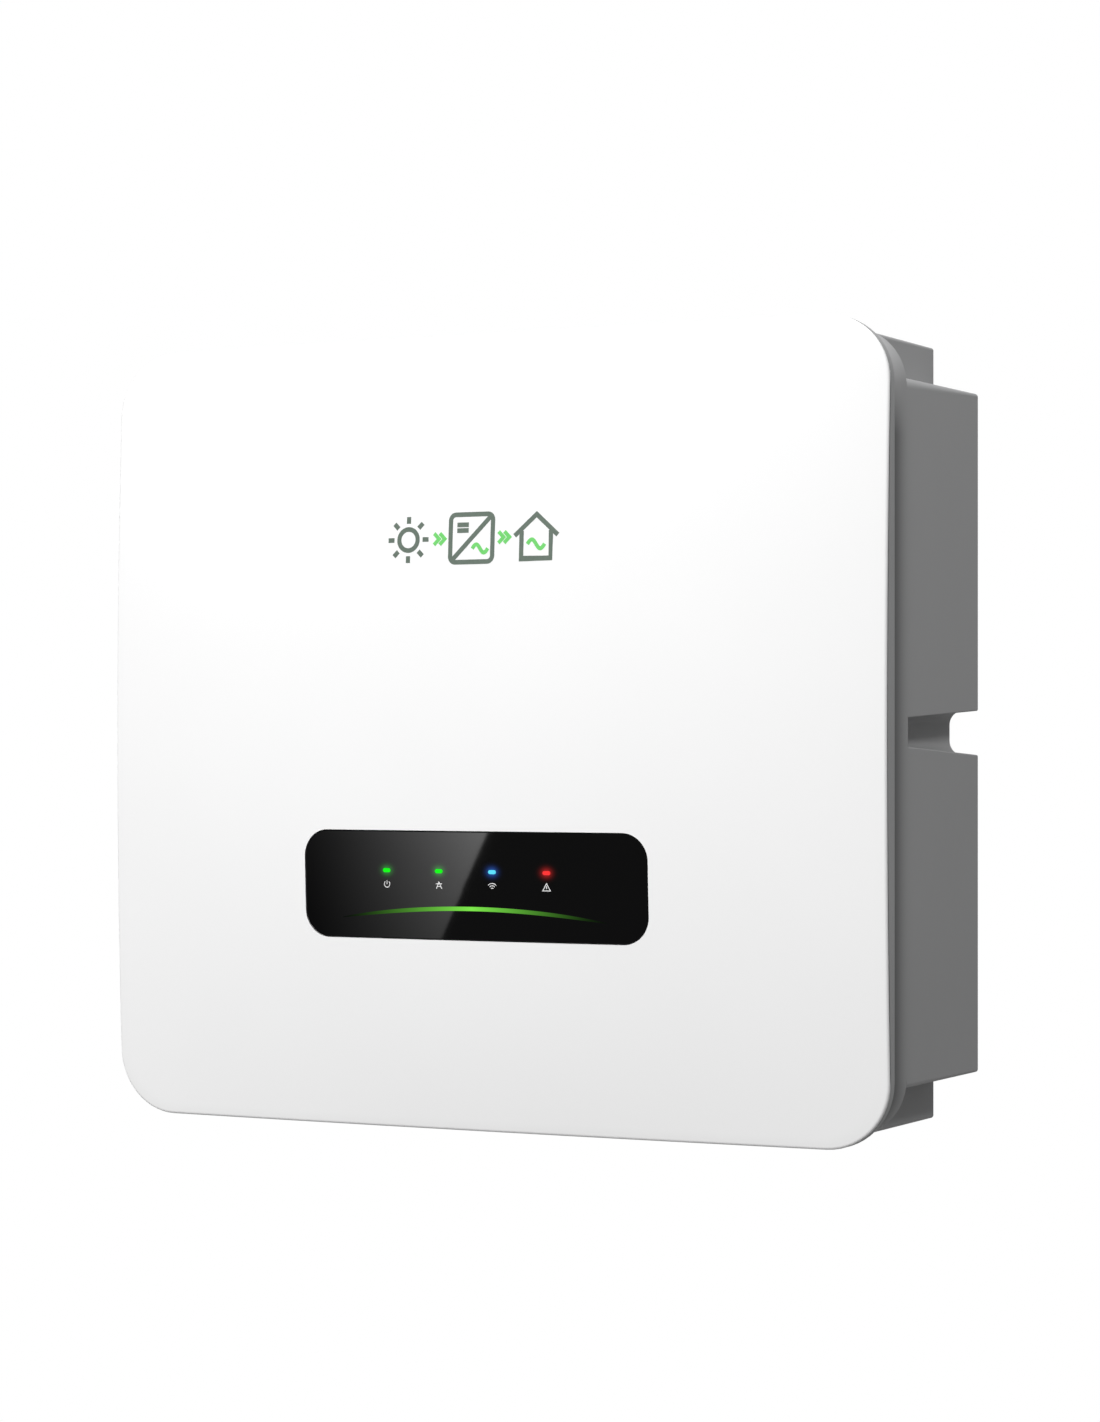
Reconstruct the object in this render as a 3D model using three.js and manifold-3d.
// Wall-hung string inverter for solar panels, built as separate pieces.
// Millimetres. +X is right as seen from the front, the front faces -Y, and +Z is up.
// The origin is on the wall plane, behind the middle of the inverter.

import * as THREE from "three";
import { mergeVertices } from "three/addons/utils/BufferGeometryUtils.js";
import Module from "manifold-3d";

const wasm = await Module();
wasm.setup();

// ---------------------------------------------------------------- driving dimensions

const GAP = 0.3; // between pieces that touch

// Front cover and the rim behind it
const WIDTH = 458;
const HEIGHT = 420;
const COVER_CORNER = 34.5;
const EDGE_DEPTH = 6.2; // rim plane to front face, at a corner
const CROWN_ACROSS = 5.1; // extra depth half way along the top and bottom edges
const CROWN_UP = 5.9; // extra depth half way up the side edges
const CROWN_MIDDLE = 7; // further bulge in the middle of the face
const COVER_EDGE = 2.2; // rounding of the cover's edge
const COVER_THICK = 2.4;
const RIM_WIDTH = 4;
const LID_THICK = 2.6;

// Housing behind the rim
const NECK_INSET = 3.5; // step from the rim in to the housing
const NECK_CORNER = 31;
const NECK_DEPTH = 25.2;
const BODY_DEPTH = 104.7; // behind the neck
const NOTCH_WIDTH = 25.2; // square notch at each corner of the rear body
const NOTCH_HEIGHT = 25.7;
const WING_ROUND_FRONT = 6.5; // top corners of the wings, which sharpen towards the rear
const WING_ROUND_REAR = 1.8;
const TALL_ROUND = 2; // top corners of the tall part
const SMALL_ROUND = 1; // the other corners
const WALL_GAP = 3; // rear of the body to the wall
const WALL = 5.5; // casting thickness
const CHAMBER_WALL = 5; // between the chamber and the channel, the bay or a groove

// Grip groove in each side
const GRIP_DEPTH = 16;
const GRIP_HALF_FRONT = 7.3;
const GRIP_HALF_REAR = 11.75;
const GRIP_CORNER = 7.5;
const GRIP_START = 27.5; // behind the rim plane

// Display window
const WINDOW_WIDTH = 204;
const WINDOW_HEIGHT = 57.7;
const WINDOW_CORNER = 14.5;
const WINDOW_Z = -80.4;
const WINDOW_SINK = 0.25;
const WINDOW_THICK = 2.4;
const LIGHT_Z = -72.8;
const LIGHT_PITCH = 31.7;
const LIGHT_LENGTH = 5;
const LIGHT_HEIGHT = 2.5;
const ARC_HALF_LENGTH = 78.5;
const ARC_TOP_Z = -92.8;
const ARC_DROP = 5.9;
const ARC_THICK = 2.3;
const ARC_END_THICK = 0.5;

// Rear: fin channel, heat sink, hanger rail and wall bracket
const FIN_CHANNEL = 39; // depth of the open channel at the rear
const FIN_THICK = 2;
const FIN_PITCH = 12;
const FIN_COUNT = 32;
const SINK_BASE = 6;
const RAIL_LENGTH = 300;
const HANGER_Z = 102.8; // lower edge of the hanger rail's hook
const SHEET = 2.5; // bracket's sheet steel
const RAIL_SHEET = 3;

// Connector bay under the body
const BAY_HALF_WIDTH = 184;
const BAY_HEIGHT = 39.5;
const BAY_MARGIN = 4.7; // bay's front edge behind the neck
const CONNECTOR_TIP = 8; // up from the bottom edge of the body

// ---------------------------------------------------------------- planes and half sizes

const REAR_Y = -WALL_GAP;
const NECK_REAR_Y = REAR_Y - BODY_DEPTH;
const RIM_Y = NECK_REAR_Y - NECK_DEPTH;
const LID_FRONT_Y = RIM_Y - LID_THICK;
const CHANNEL_Y = REAR_Y - FIN_CHANNEL;
const CHAMBER_REAR_Y = CHANNEL_Y - CHAMBER_WALL;
const BODY_X = WIDTH / 2 - NECK_INSET;
const BODY_Z = HEIGHT / 2 - NECK_INSET;
const TALL_X = BODY_X - NOTCH_WIDTH;
const WING_Z = BODY_Z - NOTCH_HEIGHT;
const BAY_FRONT_Y = NECK_REAR_Y + BAY_MARGIN;
const BAY_REAR_Y = CHAMBER_REAR_Y;
const BAY_Y = (BAY_FRONT_Y + BAY_REAR_Y) / 2;
const BAY_CEILING_Z = -BODY_Z + BAY_HEIGHT;
const BAY_TOP_Z = BAY_CEILING_Z + CHAMBER_WALL;
const TIP_Z = -BODY_Z + CONNECTOR_TIP;
const PAST = 5; // how far a cutting solid runs past the face that it opens
const CORNERS = [[1, 1], [-1, 1], [-1, -1], [1, -1]];

// ---------------------------------------------------------------- materials

function finish(color, roughness, metalness) {
  return new THREE.MeshStandardMaterial({ color, roughness, metalness });
}

const coverWhite = finish(0xf3f4f3, 0.45, 0);
const castGrey = finish(0x808182, 0.55, 0.1);
const windowBlack = finish(0x0c0d0e, 0.08, 0);
const barAluminium = finish(0xa9abad, 0.45, 0.9);
const zincSteel = finish(0xb4b7b8, 0.4, 0.9);
const sealRubber = finish(0x1c1c1d, 0.85, 0);
const plugBlack = finish(0x202123, 0.5, 0);
const boardGreen = finish(0x1f5a3a, 0.55, 0);
const ferriteGrey = finish(0x3c3d40, 0.7, 0);
const sleeveBlue = finish(0x26405e, 0.4, 0);
const relayCream = finish(0xd9d5c8, 0.5, 0);
const lightGreen = finish(0x2fe04a, 0.3, 0);
const lightBlue = finish(0x59d8ff, 0.3, 0);
const lightRed = finish(0xff3d3d, 0.3, 0);
const plateSilver = finish(0xc3c5c7, 0.4, 0.6);

// ---------------------------------------------------------------- solids

// Closed geometry to a solid that can be cut and joined.
function solid(geometry) {
  geometry.deleteAttribute("normal");
  geometry.deleteAttribute("uv");
  const merged = mergeVertices(geometry, 1e-4);
  const index = merged.index.array;
  const triangles = [];
  for (let at = 0; at < index.length; at += 3) {
    const [a, b, c] = [index[at], index[at + 1], index[at + 2]];
    if (a !== b && b !== c && c !== a) triangles.push(a, b, c);
  }
  return new wasm.Manifold(new wasm.Mesh({
    numProp: 3,
    vertProperties: Float32Array.from(merged.attributes.position.array),
    triVerts: Uint32Array.from(triangles),
  }));
}

function geometryOf(shape) {
  const mesh = shape.getMesh();
  const geometry = new THREE.BufferGeometry();
  geometry.setAttribute("position", new THREE.BufferAttribute(mesh.vertProperties, 3));
  geometry.setIndex(new THREE.BufferAttribute(mesh.triVerts, 1));
  return geometry;
}

function joined(solids) {
  return solids.reduce((whole, piece) => whole.add(piece));
}

// Box from its low and high corners.
function box(low, high) {
  const size = high.map((value, axis) => value - low[axis]);
  const geometry = new THREE.BoxGeometry(...size);
  geometry.translate(...low.map((value, axis) => value + size[axis] / 2));
  return solid(geometry);
}

// Round bar along Y or Z.
function barY(x, z, radius, rearY, frontY, sides = 10) {
  const geometry = new THREE.CylinderGeometry(radius, radius, rearY - frontY, sides);
  geometry.translate(x, (rearY + frontY) / 2, z);
  return solid(geometry);
}

function barZ(x, y, radius, lowZ, highZ, sides = 12) {
  const geometry = new THREE.CylinderGeometry(radius, radius, highZ - lowZ, sides);
  geometry.rotateX(Math.PI / 2);
  geometry.translate(x, y, (lowZ + highZ) / 2);
  return solid(geometry);
}

// Outline in X and Z through right-angled corners, each [x, z, radius].
function outline(corners) {
  const handle = 0.5523; // Bezier handle that follows a quarter circle
  const shape = new THREE.Shape();
  corners.forEach(([x, z, radius], index) => {
    const corner = new THREE.Vector2(x, z);
    const before = new THREE.Vector2(...corners.at(index - 1).slice(0, 2));
    const after = new THREE.Vector2(...corners[(index + 1) % corners.length].slice(0, 2));
    const start = before.sub(corner).setLength(radius).add(corner);
    const end = after.sub(corner).setLength(radius).add(corner);
    if (index === 0) shape.moveTo(start.x, start.y);
    else shape.lineTo(start.x, start.y);
    if (radius > 0) {
      const leave = start.clone().lerp(corner, handle);
      const arrive = end.clone().lerp(corner, handle);
      shape.bezierCurveTo(leave.x, leave.y, arrive.x, arrive.y, end.x, end.y);
    }
  });
  shape.closePath();
  return shape;
}

function rectangle(x, z, halfWidth, halfHeight, radius) {
  return outline(CORNERS.map(([a, b]) => [x + a * halfWidth, z + b * halfHeight, radius]));
}

// The rear body's outline: a rectangle with a square notch at each corner, inset by a wall.
function crossOutline(inset, wingRound = SMALL_ROUND, tallRound = SMALL_ROUND) {
  const wingX = BODY_X - inset;
  const wingZ = WING_Z - inset;
  const tallX = TALL_X - inset;
  const tallZ = BODY_Z - inset;
  const round = SMALL_ROUND;
  return outline([
    [wingX, wingZ, wingRound], [tallX, wingZ, round], [tallX, tallZ, tallRound],
    [-tallX, tallZ, tallRound], [-tallX, wingZ, round], [-wingX, wingZ, wingRound],
    [-wingX, -wingZ, round], [-tallX, -wingZ, round], [-tallX, -tallZ, round],
    [tallX, -tallZ, round], [tallX, -wingZ, round], [wingX, -wingZ, round],
  ]);
}

// An outline in X and Z, made solid from a rear plane to a front plane.
function prismGeometry(shape, rearY, frontY, curveSegments = 4) {
  const geometry = new THREE.ExtrudeGeometry(shape, {
    depth: rearY - frontY, bevelEnabled: false, curveSegments,
  });
  geometry.rotateX(Math.PI / 2);
  geometry.translate(0, rearY, 0);
  return geometry;
}

function prism(shape, rearY, frontY, curveSegments) {
  return solid(prismGeometry(shape, rearY, frontY, curveSegments));
}

// Folded sheet: a closed outline of [y, z] points, run along X.
function foldedSheet(points, length) {
  const shape = new THREE.Shape(points.map(([y, z]) => new THREE.Vector2(y, z)));
  const geometry = new THREE.ExtrudeGeometry(shape, { depth: length, bevelEnabled: false });
  geometry.translate(0, 0, -length / 2);
  geometry.applyMatrix4(new THREE.Matrix4().makeBasis(
    new THREE.Vector3(0, 1, 0), new THREE.Vector3(0, 0, 1), new THREE.Vector3(1, 0, 0),
  ));
  return solid(geometry);
}

// Turned piece: a profile of [radius, z] points, spun about Z.
function turned(profile, sides = 14) {
  const points = profile.map(([radius, z]) => new THREE.Vector2(radius, z));
  const geometry = new THREE.LatheGeometry(points, sides);
  geometry.rotateX(Math.PI / 2);
  return solid(geometry);
}

// ---------------------------------------------------------------- crowned front surfaces

function crownY(x, z, drop) {
  const across = 1 - (2 * x / WIDTH) ** 2;
  const up = 1 - (2 * z / HEIGHT) ** 2;
  const depth = EDGE_DEPTH + CROWN_ACROSS * across + CROWN_UP * up + CROWN_MIDDLE * across * up;
  return RIM_Y - depth + drop;
}

// Points round the cover's outline, counter-clockwise from the front.
function coverRing(inset, scale) {
  const arcSteps = 6;
  const sideSteps = 4;
  const radius = COVER_CORNER - inset;
  const middleX = WIDTH / 2 - COVER_CORNER;
  const middleZ = HEIGHT / 2 - COVER_CORNER;
  const points = [];
  CORNERS.forEach(([a, b], corner) => {
    for (let step = 0; step <= arcSteps; step += 1) {
      const angle = (corner + step / arcSteps) * Math.PI / 2;
      const x = a * middleX + radius * Math.cos(angle);
      const z = b * middleZ + radius * Math.sin(angle);
      points.push(new THREE.Vector2(x, z).multiplyScalar(scale));
    }
  });
  const ring = [];
  points.forEach((point, index) => {
    ring.push(point);
    if (index % (arcSteps + 1) !== arcSteps) return;
    const next = points[(index + 1) % points.length];
    for (let step = 1; step < sideSteps; step += 1) {
      ring.push(point.clone().lerp(next, step / sideSteps));
    }
  });
  return ring;
}

// Skin over rings of points from the back's middle, out to the edge, to the front's middle.
function loft(rings, backMiddleY, frontMiddleY) {
  const count = rings[0].length;
  const positions = rings.flat().flatMap((point) => point.toArray());
  positions.push(0, backMiddleY, 0, 0, frontMiddleY, 0);
  const back = rings.length * count;
  const front = back + 1;
  const last = back - count;
  const triangles = [];
  for (let i = 0; i < count; i += 1) {
    const j = (i + 1) % count;
    triangles.push(back, j, i, last + i, last + j, front);
    for (let ring = 0; ring < rings.length - 1; ring += 1) {
      const low = ring * count;
      const high = low + count;
      triangles.push(low + i, low + j, high + i, low + j, high + j, high + i);
    }
  }
  const geometry = new THREE.BufferGeometry();
  geometry.setAttribute("position", new THREE.Float32BufferAttribute(positions, 3));
  geometry.setIndex(triangles);
  return solid(geometry);
}

// Solid under the crowned face: `drop` below it in front, back surface given by backY(x, z).
function crowned(drop, edge, backY) {
  const scales = [0.25, 0.5, 0.75, 0.92];
  const edgeSteps = edge > 0 ? 3 : 0;
  const at = (points, yOf) => points.map((p) => new THREE.Vector3(p.x, yOf(p.x, p.y), p.y));
  const front = (extra) => (x, z) => crownY(x, z, drop + extra);
  const rings = scales.map((scale) => at(coverRing(edge, scale), backY));
  rings.push(at(coverRing(0, 1), backY));
  for (let step = 0; step <= edgeSteps; step += 1) {
    const angle = edgeSteps ? step / edgeSteps * Math.PI / 2 : 0;
    const inset = edge * (1 - Math.cos(angle));
    rings.push(at(coverRing(inset, 1), front(edge * (1 - Math.sin(angle)))));
  }
  scales.toReversed().forEach((scale) => rings.push(at(coverRing(edge, scale), front(0))));
  return loft(rings, backY(0, 0), crownY(0, 0, drop));
}

function crownedSheet(drop, thick) {
  return crowned(drop, 0, (x, z) => crownY(x, z, drop + thick));
}

// ---------------------------------------------------------------- assembly tree

const inverter = new THREE.Group();
const lifted = new THREE.Group(); // everything that lifts off the wall bracket
const turning = new THREE.Group(); // the isolator's knob and shaft
inverter.add(lifted);
lifted.add(turning);

function add(group, name, shape, material) {
  const mesh = new THREE.Mesh(geometryOf(shape), material);
  mesh.name = name;
  group.add(mesh);
  return mesh;
}

// ---------------------------------------------------------------- wall bracket and hanger rail

const SHELF_Z = HANGER_Z - GAP; // the bracket's shelf, which the rail's hook rests on
const BRACKET_BOTTOM_Z = -60;
const LIP_HEIGHT = 15.5;
const LIP_Y = -14;
const HOOK_Y = -5.5;
const RAIL_Y = REAR_Y - 17;
const RAIL_BOTTOM_Z = 58;
const RAIL_TOP_Z = SHELF_Z + 23.5;
const RAIL_SCREW_Z = 66;
const RAIL_SCREW_X = [-132, -60, 60, 132];
const BRACKET_HOLE = 4.5;
const BRACKET_HOLE_X = [-120, 120];
const BRACKET_HOLE_Z = [-38, 74];
const SCREW_HOLE = 2.8;
const SCREW_SHANK = 2.5;
const SCREW_HEAD = 4.5;
const RAIL_SCREW_HEAD_HEIGHT = 2;
const RAIL_SCREW_LENGTH = 12;

function wallBracket() {
  const sheet = foldedSheet([
    [0, BRACKET_BOTTOM_Z], [0, SHELF_Z], [LIP_Y + SHEET, SHELF_Z],
    [LIP_Y + SHEET, SHELF_Z + LIP_HEIGHT], [LIP_Y, SHELF_Z + LIP_HEIGHT], [LIP_Y, SHELF_Z - SHEET],
    [-SHEET, SHELF_Z - SHEET], [-SHEET, BRACKET_BOTTOM_Z],
  ], RAIL_LENGTH);
  const holes = BRACKET_HOLE_X.flatMap((x) => BRACKET_HOLE_Z.map(
    (z) => barY(x, z, BRACKET_HOLE, PAST, -PAST, 12),
  ));
  return sheet.subtract(joined(holes));
}

function hangerRail() {
  const sheet = foldedSheet([
    [RAIL_Y, RAIL_BOTTOM_Z], [RAIL_Y + RAIL_SHEET, RAIL_BOTTOM_Z],
    [RAIL_Y + RAIL_SHEET, RAIL_TOP_Z - RAIL_SHEET], [HOOK_Y - RAIL_SHEET, RAIL_TOP_Z - RAIL_SHEET],
    [HOOK_Y - RAIL_SHEET, HANGER_Z], [HOOK_Y, HANGER_Z], [HOOK_Y, RAIL_TOP_Z],
    [RAIL_Y, RAIL_TOP_Z],
  ], RAIL_LENGTH);
  const holes = RAIL_SCREW_X.map(
    (x) => barY(x, RAIL_SCREW_Z, SCREW_HOLE, RAIL_Y + PAST, RAIL_Y - PAST),
  );
  return sheet.subtract(joined(holes));
}

add(inverter, "wall_bracket", wallBracket(), zincSteel);
add(lifted, "hanger_rail", hangerRail(), zincSteel);

// Pan-head screw at the origin, its head's underside at y = 0 and its shank towards -Y.
function screwAlongY(headHeight, length) {
  const head = barY(0, 0, SCREW_HEAD, headHeight, 0);
  const shank = barY(0, 0, SCREW_SHANK, headHeight / 2, -length);
  return head.add(shank);
}

RAIL_SCREW_X.forEach((x, index) => {
  const shape = screwAlongY(RAIL_SCREW_HEAD_HEIGHT, RAIL_SCREW_LENGTH);
  const screw = add(lifted, `rail_screw_${index + 1}`, shape, zincSteel);
  screw.position.set(x, RAIL_Y + RAIL_SHEET + GAP, RAIL_SCREW_Z);
});

// ---------------------------------------------------------------- housing

const LID_SCREW_X = TALL_X + 10.7;
const LID_SCREW_Z = WING_Z + 11.2;
const HOLE_SLACK = 0.8; // round the fittings in the bay's ceiling
const MODULE_OPENING = { halfWidth: 125, lowZ: -20, highZ: 110 };
const BOARD_REAR_Y = CHAMBER_REAR_Y - 17;
const BOARD_POST_RADIUS = 5;
const BOARD_POST_X = 172;
const BOARD_POST_Z = [-98, 172];
const SEAL_OUTER = 1.5;
const SEAL_INNER = 4.1;
const SEAL_DEPTH = 2;

// What is fitted in the bay's ceiling: its place along X and the radius of its hole.
const SWITCH_X = -152;
const SWITCH_SHAFT = 5;
const PV_X = [-104, -79, -54, -29];
const BREATHER_X = 2;
const COM_X = 36;
const METER_X = 78;
const AC_X = 128;
const EARTH_X = 168;
const PV_SPIGOT = 6.5;
const AC_SPIGOT = 15;
const CABLE_SPIGOT = 8;
const BREATHER_SPIGOT = 4;
const bayFittings = [
  { x: SWITCH_X, hole: SWITCH_SHAFT },
  ...PV_X.map((x) => ({ x, hole: PV_SPIGOT })),
  { x: BREATHER_X, hole: BREATHER_SPIGOT },
  { x: COM_X, hole: CABLE_SPIGOT },
  { x: METER_X, hole: CABLE_SPIGOT },
  { x: AC_X, hole: AC_SPIGOT },
];

function grooveCut() {
  const nearX = BODY_X - GRIP_DEPTH;
  const farX = BODY_X + PAST;
  const shape = outline([
    [farX, GRIP_HALF_REAR, 0], [nearX, GRIP_HALF_REAR, GRIP_CORNER],
    [nearX, -GRIP_HALF_REAR, GRIP_CORNER], [farX, -GRIP_HALF_REAR, 0],
  ]);
  const rearY = REAR_Y + PAST;
  const frontY = RIM_Y + GRIP_START;
  const geometry = prismGeometry(shape, rearY, frontY);
  const position = geometry.attributes.position;
  for (let at = 0; at < position.count; at += 1) {
    const along = (position.getY(at) - frontY) / (REAR_Y - frontY);
    const half = GRIP_HALF_FRONT + (GRIP_HALF_REAR - GRIP_HALF_FRONT) * along;
    position.setZ(at, position.getZ(at) * half / GRIP_HALF_REAR);
  }
  return solid(geometry);
}

// The sealed room for the electronics, open to the front.
function chamber() {
  const gripRoomX = BODY_X - GRIP_DEPTH - CHAMBER_WALL;
  const gripRoomZ = GRIP_HALF_REAR + CHAMBER_WALL;
  const room = prism(crossOutline(WALL), CHAMBER_REAR_Y, RIM_Y - PAST);
  const aroundGrip = box(
    [gripRoomX, RIM_Y + GRIP_START - CHAMBER_WALL, -gripRoomZ],
    [BODY_X, REAR_Y, gripRoomZ],
  );
  const aroundBay = box(
    [-BAY_HALF_WIDTH - WALL, BAY_FRONT_Y - WALL, -BODY_Z - PAST],
    [BAY_HALF_WIDTH + WALL, REAR_Y, BAY_TOP_Z],
  );
  return room.subtract(joined([aroundGrip, aroundGrip.mirror([1, 0, 0]), aroundBay]));
}

// Hollows of the casting that open to the rear.
function rearPockets() {
  const pocketWall = 4.5;
  const channelX = TALL_X - WALL;
  const pocketLowX = TALL_X + pocketWall;
  const pocketHighX = BODY_X - pocketWall;
  const pocketLowZ = GRIP_HALF_REAR + WALL;
  const pocketHighZ = WING_Z - WALL;
  const cuts = [box(
    [-channelX, CHANNEL_Y, -BODY_Z - PAST],
    [channelX, REAR_Y + PAST, BODY_Z + PAST],
  )];
  for (const [a, b] of CORNERS) {
    const [xs, zs] = [[a * pocketLowX, a * pocketHighX], [b * pocketLowZ, b * pocketHighZ]];
    cuts.push(box(
      [Math.min(...xs), CHANNEL_Y, Math.min(...zs)],
      [Math.max(...xs), REAR_Y + PAST, Math.max(...zs)],
    ));
  }
  return joined(cuts);
}

function sealRing(outer, inner, rearY, frontY) {
  const shape = crossOutline(outer);
  shape.holes.push(crossOutline(inner));
  return prism(shape, rearY, frontY, 2);
}

// The rear body, from the wall side to just inside the neck.
function rearBody() {
  const frontY = NECK_REAR_Y - PAST;
  const ring = (wingRound, y) => crossOutline(0, wingRound, TALL_ROUND).getPoints(4)
    .map((point) => new THREE.Vector3(point.x, y, point.y));
  return loft([ring(WING_ROUND_REAR, REAR_Y), ring(WING_ROUND_FRONT, frontY)], REAR_Y, frontY);
}

function housing() {
  const frontY = RIM_Y + GAP;
  const neckShape = rectangle(0, 0, BODY_X, BODY_Z, NECK_CORNER);
  const neck = prism(neckShape, NECK_REAR_Y, frontY, 6);
  const rear = rearBody().intersect(prism(neckShape, REAR_Y + PAST, frontY, 6));
  const groove = grooveCut();
  const cuts = [chamber(), rearPockets(), groove, groove.mirror([1, 0, 0])];
  cuts.push(box(
    [-BAY_HALF_WIDTH, BAY_FRONT_Y, -BODY_Z - PAST],
    [BAY_HALF_WIDTH, BAY_REAR_Y, BAY_CEILING_Z],
  ));
  cuts.push(box(
    [-MODULE_OPENING.halfWidth, CHAMBER_REAR_Y - PAST, MODULE_OPENING.lowZ],
    [MODULE_OPENING.halfWidth, CHANNEL_Y + PAST, MODULE_OPENING.highZ],
  ));
  cuts.push(sealRing(SEAL_OUTER, SEAL_INNER, frontY + SEAL_DEPTH, frontY - PAST));
  for (const [a, b] of CORNERS) {
    cuts.push(barY(a * LID_SCREW_X, b * LID_SCREW_Z, SCREW_HOLE, NECK_REAR_Y + PAST, RIM_Y - PAST));
  }
  for (const { x, hole } of bayFittings) {
    cuts.push(barZ(x, BAY_Y, hole + HOLE_SLACK, BAY_CEILING_Z - PAST, BAY_TOP_Z + PAST));
  }
  const posts = BOARD_POST_Z.flatMap((z) => [-BOARD_POST_X, BOARD_POST_X].map(
    (x) => barY(x, z, BOARD_POST_RADIUS, CHAMBER_REAR_Y + 1, BOARD_REAR_Y + GAP, 12),
  ));
  return neck.add(rear).subtract(joined(cuts)).add(joined(posts));
}

add(lifted, "housing", housing(), castGrey);

// ---------------------------------------------------------------- heat sink

const SINK_INSET = 6; // down from the top of the body
const SINK_TIP_INSET = 0.5; // in from its rear
const RAIL_BOSS = 6;
const RAIL_HOLE_DEPTH = 12.5;
const RAIL_CLEARANCE = 8; // round the hanger rail

function heatSink() {
  const baseRearY = CHANNEL_Y + GAP + SINK_BASE;
  const finTipY = REAR_Y - SINK_TIP_INSET;
  const halfHeight = BODY_Z - SINK_INSET;
  const halfWidth = (FIN_COUNT - 1) * FIN_PITCH / 2 + FIN_THICK / 2;
  const pieces = [box([-halfWidth, CHANNEL_Y + GAP, -halfHeight], [halfWidth, baseRearY, halfHeight])];
  for (let fin = 0; fin < FIN_COUNT; fin += 1) {
    const x = -halfWidth + fin * FIN_PITCH;
    pieces.push(box([x, baseRearY - 1, -halfHeight], [x + FIN_THICK, finTipY, halfHeight]));
  }
  for (const x of RAIL_SCREW_X) {
    pieces.push(barY(x, RAIL_SCREW_Z, RAIL_BOSS, RAIL_Y, baseRearY - 1));
  }
  const recessHalfWidth = RAIL_LENGTH / 2 + RAIL_CLEARANCE;
  const recess = box(
    [-recessHalfWidth, RAIL_Y - GAP, RAIL_BOTTOM_Z - RAIL_CLEARANCE],
    [recessHalfWidth, PAST, RAIL_TOP_Z + RAIL_CLEARANCE],
  );
  const holes = RAIL_SCREW_X.map(
    (x) => barY(x, RAIL_SCREW_Z, SCREW_HOLE, PAST, RAIL_Y - RAIL_HOLE_DEPTH),
  );
  return joined(pieces).subtract(joined([recess, ...holes]));
}

add(lifted, "heat_sink", heatSink(), barAluminium);

// ---------------------------------------------------------------- lid, gasket and front cover

const LID_BOSS_RADIUS = 6;
const LID_BOSS_DEPTH = 4.8;
const LID_THREAD_DEPTH = 4;
const DISPLAY_BOARD_Y = RIM_Y - 6.6; // rear face of the display board
const DISPLAY_BOARD = { halfWidth: 78, halfHeight: 30, thick: 1.6 };
const DISPLAY_POST_RADIUS = 3.5;
const DISPLAY_POST_X = 70;
const DISPLAY_POST_Z = 22;
const WINDOW_LEDGE = { width: 4, thick: 1.6 }; // in the cover, which the window is bonded to
const COVER_POST = { x: 150, z: 130, radius: 4 };

function lid() {
  const blank = crowned(COVER_THICK + GAP, 0, () => RIM_Y);
  const insideShape = rectangle(
    0, 0, WIDTH / 2 - RIM_WIDTH, HEIGHT / 2 - RIM_WIDTH, COVER_CORNER - RIM_WIDTH,
  );
  const inside = prism(insideShape, LID_FRONT_Y, LID_FRONT_Y - HEIGHT, 6);
  const bosses = CORNERS.map(([a, b]) => barY(
    a * LID_SCREW_X, b * LID_SCREW_Z, LID_BOSS_RADIUS, RIM_Y - 1, RIM_Y - LID_BOSS_DEPTH,
  ));
  const posts = CORNERS.map(([a, b]) => barY(
    a * DISPLAY_POST_X, WINDOW_Z + b * DISPLAY_POST_Z, DISPLAY_POST_RADIUS,
    LID_FRONT_Y + 1, DISPLAY_BOARD_Y + GAP, 12,
  ));
  const threads = CORNERS.map(([a, b]) => barY(
    a * LID_SCREW_X, b * LID_SCREW_Z, SCREW_HOLE, RIM_Y + PAST, RIM_Y - LID_THREAD_DEPTH,
  ));
  return blank.subtract(inside).add(joined([...bosses, ...posts])).subtract(joined(threads));
}

function frontCover() {
  const shell = crowned(0, COVER_EDGE, (x, z) => crownY(x, z, COVER_THICK));
  const seat = WINDOW_LEDGE.width;
  const halfWidth = WINDOW_WIDTH / 2;
  const halfHeight = WINDOW_HEIGHT / 2;
  const windowHole = rectangle(0, WINDOW_Z, halfWidth, halfHeight, WINDOW_CORNER);
  const seatOuter = rectangle(0, WINDOW_Z, halfWidth + seat, halfHeight + seat, WINDOW_CORNER + seat);
  seatOuter.holes.push(
    rectangle(0, WINDOW_Z, halfWidth - seat, halfHeight - seat, WINDOW_CORNER - seat),
  );
  const through = (shape) => prism(shape, RIM_Y, RIM_Y - HEIGHT / 4);
  const seatSheet = crownedSheet(WINDOW_SINK + WINDOW_THICK + GAP, WINDOW_LEDGE.thick);
  const ledge = seatSheet.intersect(through(seatOuter));
  const joint = crownedSheet(COVER_THICK - 0.5, 2).intersect(through(seatOuter));
  const posts = CORNERS.map(([a, b]) => {
    const [x, z] = [a * COVER_POST.x, b * COVER_POST.z];
    return barY(x, z, COVER_POST.radius, LID_FRONT_Y - GAP, crownY(x, z, COVER_THICK - 1), 12);
  });
  return shell.add(joint).subtract(through(windowHole)).add(ledge).add(joined(posts));
}

function gasket() {
  const slack = 0.2;
  return sealRing(
    SEAL_OUTER + slack, SEAL_INNER - slack, RIM_Y + GAP + SEAL_DEPTH - slack, RIM_Y + slack,
  );
}

add(lifted, "lid", lid(), castGrey);
add(lifted, "lid_gasket", gasket(), sealRubber);
add(lifted, "front_cover", frontCover(), coverWhite);

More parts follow.
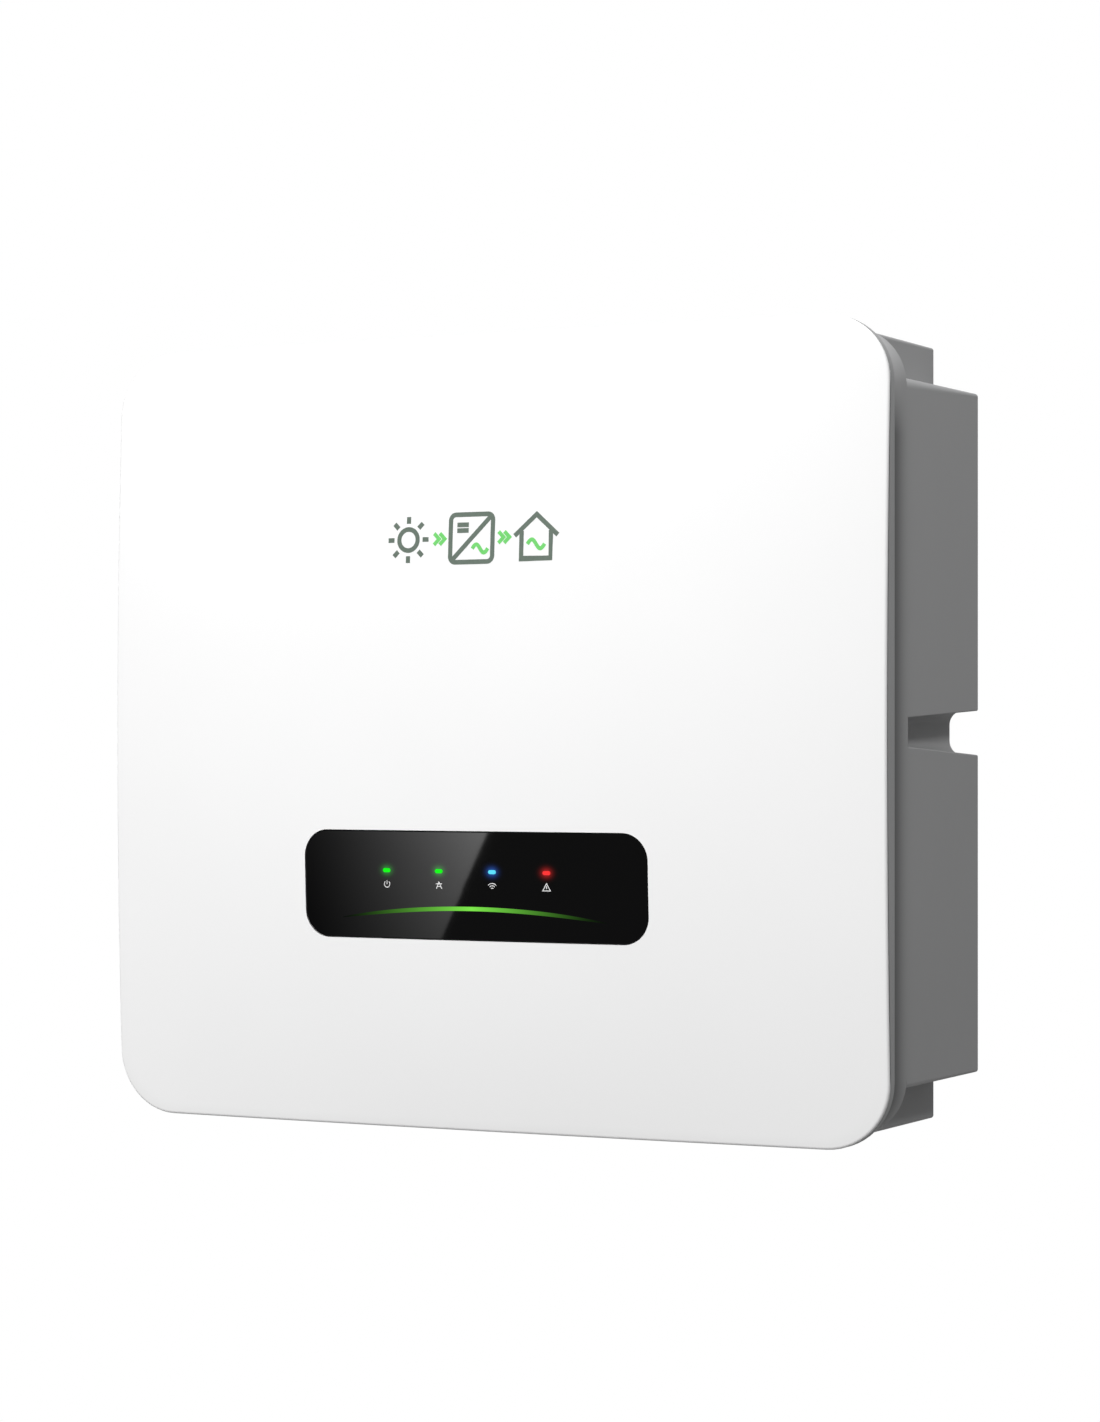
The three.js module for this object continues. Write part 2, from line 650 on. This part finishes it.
const LID_SCREW_HEAD_HEIGHT = 3.5;
const LID_SCREW_LENGTH = NECK_DEPTH + LID_THREAD_DEPTH - 0.5;
CORNERS.forEach(([a, b], index) => {
  const shape = screwAlongY(LID_SCREW_HEAD_HEIGHT, LID_SCREW_LENGTH);
  const screw = add(lifted, `lid_screw_${index + 1}`, shape, zincSteel);
  screw.position.set(a * LID_SCREW_X, NECK_REAR_Y + GAP, b * LID_SCREW_Z);
});

// ---------------------------------------------------------------- display

// Crescent that tapers towards both ends, widened all round by `extra`.
function crescent(extra) {
  const steps = 8;
  const half = ARC_HALF_LENGTH + extra;
  const points = [];
  const edge = (side, along) => {
    const x = along * half;
    const bow = (x / ARC_HALF_LENGTH) ** 2;
    const thick = Math.max(ARC_THICK * (1 - bow), ARC_END_THICK) / 2 + extra;
    return new THREE.Vector2(x, ARC_TOP_Z - ARC_DROP * bow + side * thick);
  };
  for (let step = 0; step <= steps; step += 1) points.push(edge(-1, 2 * step / steps - 1));
  for (let step = steps; step >= 0; step -= 1) points.push(edge(1, 2 * step / steps - 1));
  return new THREE.Shape(points);
}

function pill(x, z, extra) {
  const halfHeight = LIGHT_HEIGHT / 2 + extra;
  return rectangle(x, z, LIGHT_LENGTH / 2 + extra, halfHeight, halfHeight);
}

const LIGHTS = [
  ["power_light", lightGreen], ["grid_light", lightGreen],
  ["com_light", lightBlue], ["alarm_light", lightRed],
];
const lightX = (index) => (index - (LIGHTS.length - 1) / 2) * LIGHT_PITCH - 3.1;
const FAR_FRONT_Y = RIM_Y - HEIGHT / 4;

function displayWindow() {
  const shape = rectangle(
    0, WINDOW_Z, WINDOW_WIDTH / 2 - GAP, WINDOW_HEIGHT / 2 - GAP, WINDOW_CORNER - GAP,
  );
  const pane = crownedSheet(WINDOW_SINK, WINDOW_THICK).intersect(prism(shape, RIM_Y, FAR_FRONT_Y));
  const holes = LIGHTS.map(
    (light, index) => prism(pill(lightX(index), LIGHT_Z, GAP), RIM_Y, FAR_FRONT_Y, 2),
  );
  return pane.subtract(joined(holes)).subtract(prism(crescent(GAP), RIM_Y, FAR_FRONT_Y));
}

add(lifted, "display_window", displayWindow(), windowBlack);

const DISPLAY_BOARD_FRONT_Y = DISPLAY_BOARD_Y - DISPLAY_BOARD.thick;
LIGHTS.forEach(([name, material], index) => {
  const x = lightX(index);
  const frontY = crownY(x, LIGHT_Z, WINDOW_SINK);
  add(lifted, name, prism(pill(x, LIGHT_Z, 0), DISPLAY_BOARD_FRONT_Y - GAP, frontY, 2), material);
});

const LIGHT_BAR_THICK = 4.4;
const lightBar = crownedSheet(WINDOW_SINK, LIGHT_BAR_THICK)
  .intersect(prism(crescent(0), RIM_Y, FAR_FRONT_Y));
add(lifted, "light_bar", lightBar, lightGreen);

add(lifted, "display_board", box(
  [-DISPLAY_BOARD.halfWidth, DISPLAY_BOARD_FRONT_Y, WINDOW_Z - DISPLAY_BOARD.halfHeight],
  [DISPLAY_BOARD.halfWidth, DISPLAY_BOARD_Y, WINDOW_Z + DISPLAY_BOARD.halfHeight],
), boardGreen);

// ---------------------------------------------------------------- electronics in the chamber

const BOARD_THICK = 1.6;
const BOARD_FRONT_Y = BOARD_REAR_Y - BOARD_THICK;
const PARTS_Y = BOARD_FRONT_Y - GAP; // parts stand on the power board from here towards the front

add(lifted, "power_board", box(
  [-185, BOARD_FRONT_Y, -108], [185, BOARD_REAR_Y, 186],
), boardGreen);

// Block that stands on the power board, centred on its mesh's x and z.
function boardBlock(width, height, tall) {
  return box([-width / 2, PARTS_Y - tall, -height / 2], [width / 2, PARTS_Y, height / 2]);
}

function row(name, places, shape, material) {
  places.forEach(([x, z], index) => {
    add(lifted, `${name}_${index + 1}`, shape, material).position.set(x, 0, z);
  });
}

const powerModule = box(
  [-35, BOARD_REAR_Y + GAP, -32], [35, CHANNEL_Y, 32],
);
const CAPACITOR = { radius: 16, tall: 46 };
const CHOKE = { radius: 27, bore: 11, tall: 24 };
const capacitor = barY(0, 0, CAPACITOR.radius, PARTS_Y, PARTS_Y - CAPACITOR.tall, 14);
const choke = barY(0, 0, CHOKE.radius, PARTS_Y, PARTS_Y - CHOKE.tall, 16)
  .subtract(barY(0, 0, CHOKE.bore, PARTS_Y + PAST, PARTS_Y - CHOKE.tall - PAST, 16));

row("power_module", [[-62, 45], [62, 45]], powerModule, plugBlack);
row("bus_capacitor", [[-155, 150], [-115, 150], [-75, 150], [-35, 150]], capacitor, sleeveBlue);
row("boost_inductor", [[-142, -72], [-62, -72]], boardBlock(68, 62, 44), ferriteGrey);
row("filter_inductor", [[20, -72], [80, -72], [140, -72]], boardBlock(50, 58, 46), ferriteGrey);
row("grid_relay", [[20, -18], [62, -18], [104, -18]], boardBlock(30, 24, 20), relayCream);
row("emi_choke", [[-142, 40], [142, 20]], choke, ferriteGrey);

const CONTROL = { lowX: 14, highX: 174, lowZ: 66, highZ: 176, y: PARTS_Y - 34 };
const SPACER_INSET = 8;
const SPACER_RADIUS = 3;
add(lifted, "control_board", box(
  [CONTROL.lowX, CONTROL.y - BOARD_THICK, CONTROL.lowZ], [CONTROL.highX, CONTROL.y, CONTROL.highZ],
), boardGreen);
row("board_spacer", [
  [CONTROL.lowX + SPACER_INSET, CONTROL.lowZ + SPACER_INSET],
  [CONTROL.highX - SPACER_INSET, CONTROL.lowZ + SPACER_INSET],
  [CONTROL.lowX + SPACER_INSET, CONTROL.highZ - SPACER_INSET],
  [CONTROL.highX - SPACER_INSET, CONTROL.highZ - SPACER_INSET],
], barY(0, 0, SPACER_RADIUS, PARTS_Y, CONTROL.y + GAP, 8), zincSteel);

// ---------------------------------------------------------------- connector bay

const FACE_Z = BAY_CEILING_Z - GAP; // fittings bear on the ceiling here
const INSIDE_Z = BAY_TOP_Z + 5; // their spigots end here, inside the chamber

const FLANGE_THICK = 5; // of the sockets
const COLLAR_THICK = 4; // of the communication socket and the gland

// Fitting under the ceiling: a spigot through it, a flange, and a barrel with an open cup.
function cupFitting({ spigot, flange, barrel, cup, cupDepth }, tipZ) {
  const flangeZ = FACE_Z - FLANGE_THICK;
  return turned([
    [0, tipZ + cupDepth], [cup, tipZ + cupDepth], [cup, tipZ], [barrel, tipZ],
    [barrel, flangeZ], [flange, flangeZ], [flange, FACE_Z], [spigot, FACE_Z],
    [spigot, INSIDE_Z], [0, INSIDE_Z],
  ]);
}

function place(group, name, shape, x, material) {
  add(group, name, shape, material).position.set(x, BAY_Y, 0);
}

const PV_SOCKET = { spigot: PV_SPIGOT, flange: 11, barrel: 9.5, cup: 7.2, cupDepth: 15 };
const AC_SOCKET = { spigot: AC_SPIGOT, flange: 24, barrel: 21, cup: 17.5, cupDepth: 20 };
PV_X.forEach((x, index) => {
  place(lifted, `pv_socket_${index + 1}`, cupFitting(PV_SOCKET, TIP_Z + 1), x, plugBlack);
});
place(lifted, "ac_socket", cupFitting(AC_SOCKET, TIP_Z), AC_X, plugBlack);

const breather = turned([
  [0, FACE_Z - 8], [6, FACE_Z - 8], [8, FACE_Z - 6], [8, FACE_Z], [BREATHER_SPIGOT, FACE_Z],
  [BREATHER_SPIGOT, INSIDE_Z], [0, INSIDE_Z],
]);
place(lifted, "breather_valve", breather, BREATHER_X, plugBlack);

const THREAD = { radius: 10.5, endZ: FACE_Z - 12 };
const CAP_RADIUS = 14;
const COLLAR_Z = FACE_Z - COLLAR_THICK;
const comThread = turned([
  [0, THREAD.endZ], [THREAD.radius, THREAD.endZ], [THREAD.radius, COLLAR_Z], [CAP_RADIUS, COLLAR_Z],
  [CAP_RADIUS, FACE_Z], [CABLE_SPIGOT, FACE_Z], [CABLE_SPIGOT, INSIDE_Z], [0, INSIDE_Z],
]);
place(lifted, "com_socket", comThread, COM_X, plugBlack);

const comCap = turned([
  [0, FACE_Z - 24], [12.5, FACE_Z - 24], [CAP_RADIUS, FACE_Z - 22.5], [CAP_RADIUS, COLLAR_Z - GAP],
  [THREAD.radius + GAP, COLLAR_Z - GAP], [THREAD.radius + GAP, THREAD.endZ - GAP],
  [0, THREAD.endZ - GAP],
]);
place(lifted, "com_cap", comCap, COM_X, plugBlack);

const meterGland = turned([
  [0, TIP_Z + 6], [6, TIP_Z + 6], [10.5, TIP_Z + 10], [12.5, TIP_Z + 14], [12.5, FACE_Z - 8],
  [10.5, FACE_Z - 7], [10.5, COLLAR_Z], [13, COLLAR_Z], [13, FACE_Z], [CABLE_SPIGOT, FACE_Z],
  [CABLE_SPIGOT, INSIDE_Z], [0, INSIDE_Z],
], 12);
place(lifted, "meter_gland", meterGland, METER_X, plugBlack);

const EARTH_HEAD = { radius: 6, tall: 6 };
const earthScrew = barZ(0, 0, EARTH_HEAD.radius, FACE_Z - EARTH_HEAD.tall, FACE_Z, 6);
place(lifted, "earth_screw", earthScrew, EARTH_X, zincSteel);

// ---------------------------------------------------------------- isolator switch

const SWITCH_HALF = 23;
const SWITCH_TALL = 42;
const SHAFT_IN_SWITCH = 20;
const PLATE_HALF = 24;
const PLATE_Z = FACE_Z - 3;
const KNOB_TOP_Z = PLATE_Z - GAP;
const KNOB_RADIUS = 19;
const KNOB_BASE = 8;
const LEVER = { halfLength: 17.5, halfWidth: 5.5 };
const SHAFT_END_Z = KNOB_TOP_Z - 12;

const switchBody = box(
  [-SWITCH_HALF, -SWITCH_HALF, BAY_TOP_Z + GAP], [SWITCH_HALF, SWITCH_HALF, BAY_TOP_Z + SWITCH_TALL],
).subtract(barZ(0, 0, SWITCH_SHAFT + GAP, BAY_TOP_Z - PAST, BAY_TOP_Z + SHAFT_IN_SWITCH + 2));
place(lifted, "dc_switch_body", switchBody, SWITCH_X, relayCream);

const switchPlate = box([-PLATE_HALF, -PLATE_HALF, PLATE_Z], [PLATE_HALF, PLATE_HALF, FACE_Z])
  .subtract(barZ(0, 0, SWITCH_SHAFT + GAP, PLATE_Z - PAST, FACE_Z + PAST));
place(lifted, "dc_switch_plate", switchPlate, SWITCH_X, plugBlack);

const shaft = barZ(0, 0, SWITCH_SHAFT - 0.2, SHAFT_END_Z, BAY_TOP_Z + SHAFT_IN_SWITCH);
place(turning, "dc_switch_shaft", shaft, SWITCH_X, zincSteel);

const lever = box(
  [-LEVER.halfLength, -LEVER.halfWidth, TIP_Z], [LEVER.halfLength, LEVER.halfWidth, KNOB_TOP_Z - 1],
);
const knob = barZ(0, 0, KNOB_RADIUS, KNOB_TOP_Z - KNOB_BASE, KNOB_TOP_Z, 20)
  .add(lever)
  .subtract(barZ(0, 0, SWITCH_SHAFT + 0.1, SHAFT_END_Z - GAP, KNOB_TOP_Z + PAST));
place(turning, "dc_switch_knob", knob, SWITCH_X, plugBlack);

// ---------------------------------------------------------------- rating plate

const RATING_PLATE = { thick: 0.8, rearInset: 20, length: 70, lowZ: 50, highZ: 150 };
const plateRearY = REAR_Y - RATING_PLATE.rearInset;
add(lifted, "rating_plate", box(
  [-BODY_X - GAP - RATING_PLATE.thick, plateRearY - RATING_PLATE.length, RATING_PLATE.lowZ],
  [-BODY_X - GAP, plateRearY, RATING_PLATE.highZ],
), plateSilver);

export default inverter;
